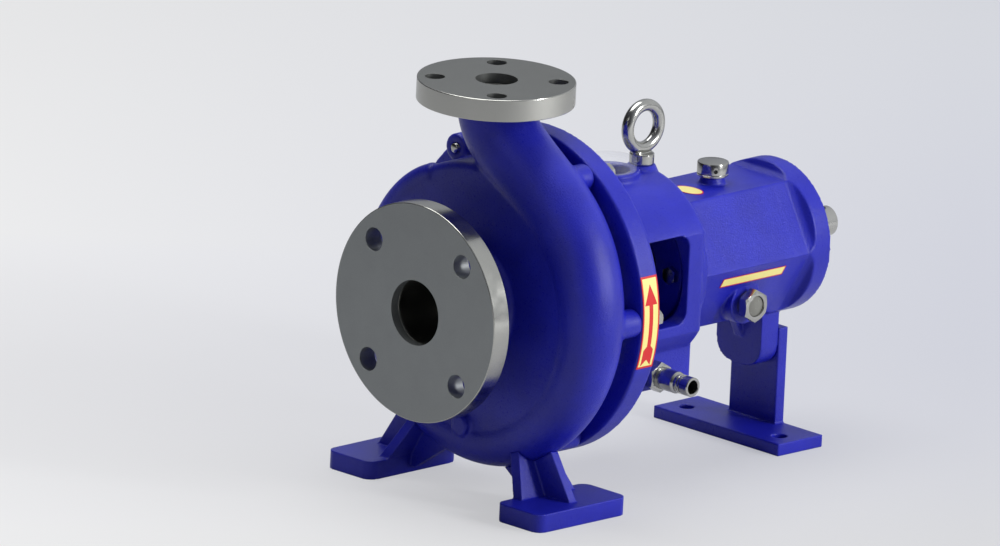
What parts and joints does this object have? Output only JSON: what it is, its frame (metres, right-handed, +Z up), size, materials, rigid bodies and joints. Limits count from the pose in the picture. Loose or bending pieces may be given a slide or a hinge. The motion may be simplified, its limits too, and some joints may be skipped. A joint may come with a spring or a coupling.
{
  "type": "centrifugal pump",
  "caption": "End suction chemical process pump: volute casing with flanged nozzles, shaft with open impeller, lantern adapter and bearing housing on feet.",
  "frame": {"origin": "middle of the casing feet on the base plane, under the discharge nozzle", "axes": "+X along the shaft from suction to coupling end, +Z up along the discharge nozzle, -Y is the side with the drain nipple and oil sight glass"},
  "size_m": [0.465, 0.2714, 0.34],
  "materials": {
    "blue_paint": "satin enamel with a faint orange peel",
    "machined_steel": "turned and milled",
    "flange_steel": "turned faces, polished rims",
    "plated_steel": "bright zinc plate",
    "stainless_cast": "fine cast",
    "bearing_steel": "ground",
    "cage_brass": "machined",
    "black_rubber": "matt",
    "seal_carbon": "lapped",
    "clear_plastic": "clear moulded",
    "sight_glass": "clear",
    "nipple_steel": "turned"
  },
  "bodies": {
    "pump": {"volute_casing": "blue_paint", "casing_foot_left": "blue_paint", "casing_foot_right": "blue_paint", "suction_flange": "flange_steel", "discharge_flange": "flange_steel", "rear_cover": "stainless_cast", "casing_studs": "plated_steel", "casing_stud_washers": "plated_steel", "casing_stud_nuts": "plated_steel", "adapter_lantern": "blue_paint", "inspection_guard": "clear_plastic", "eye_bolt": "plated_steel", "drain_nipple": "nipple_steel", "bearing_housing": "blue_paint", "front_bearing_cover": "blue_paint", "front_cover_bolts": "plated_steel", "rear_bearing_cover": "blue_paint", "rear_cover_bolts": "plated_steel", "front_oil_seal": "black_rubber", "rear_oil_seal": "black_rubber", "front_bearing_outer_race": "bearing_steel", "rear_bearing_outer_race": "bearing_steel", "seal_seat": "seal_carbon", "seal_gland": "stainless_cast", "gland_bolts": "plated_steel", "breather_stem": "machined_steel", "sight_glass_ring": "plated_steel", "sight_glass_lens": "sight_glass", "oil_drain_plug": "plated_steel", "support_foot": "blue_paint", "support_bolt_washer": "plated_steel", "support_bolt": "plated_steel"},
    "rotor": {"shaft": "machined_steel", "shaft_sleeve": "machined_steel", "impeller": "stainless_cast", "impeller_nut": "machined_steel", "seal_ring": "seal_carbon", "seal_bellows": "black_rubber", "seal_collar": "machined_steel", "shaft_deflector": "black_rubber", "front_bearing_inner_race": "bearing_steel", "rear_bearing_inner_race": "bearing_steel", "bearing_locknut": "machined_steel"},
    "front_cage": {"front_bearing_cage": "cage_brass", "front_bearing_balls": "bearing_steel"},
    "rear_cage": {"rear_bearing_cage": "cage_brass", "rear_bearing_balls": "bearing_steel"},
    "breather": {"breather_cap": "plated_steel"}
  },
  "joints": [
    {"name": "rotor_spin", "type": "hinge", "parent": "pump", "child": "rotor", "pos_m": [0, 0, 0.16], "axis": [-1, 0, 0], "continuous": true},
    {"name": "front_cage_spin", "type": "hinge", "parent": "pump", "child": "front_cage", "pos_m": [0.1865, 0, 0.16], "axis": [-1, 0, 0], "continuous": true},
    {"name": "rear_cage_spin", "type": "hinge", "parent": "pump", "child": "rear_cage", "pos_m": [0.3015, 0, 0.16], "axis": [-1, 0, 0], "continuous": true},
    {"name": "breather_lift", "type": "slide", "parent": "pump", "child": "breather", "axis": [0, 0, 1], "range_m": [0, 0.02]}
  ],
  "couplings": [
    {"joint": "front_cage_spin", "follows": "rotor_spin", "ratio": 0.3835},
    {"joint": "rear_cage_spin", "follows": "rotor_spin", "ratio": 0.3835}
  ]
}
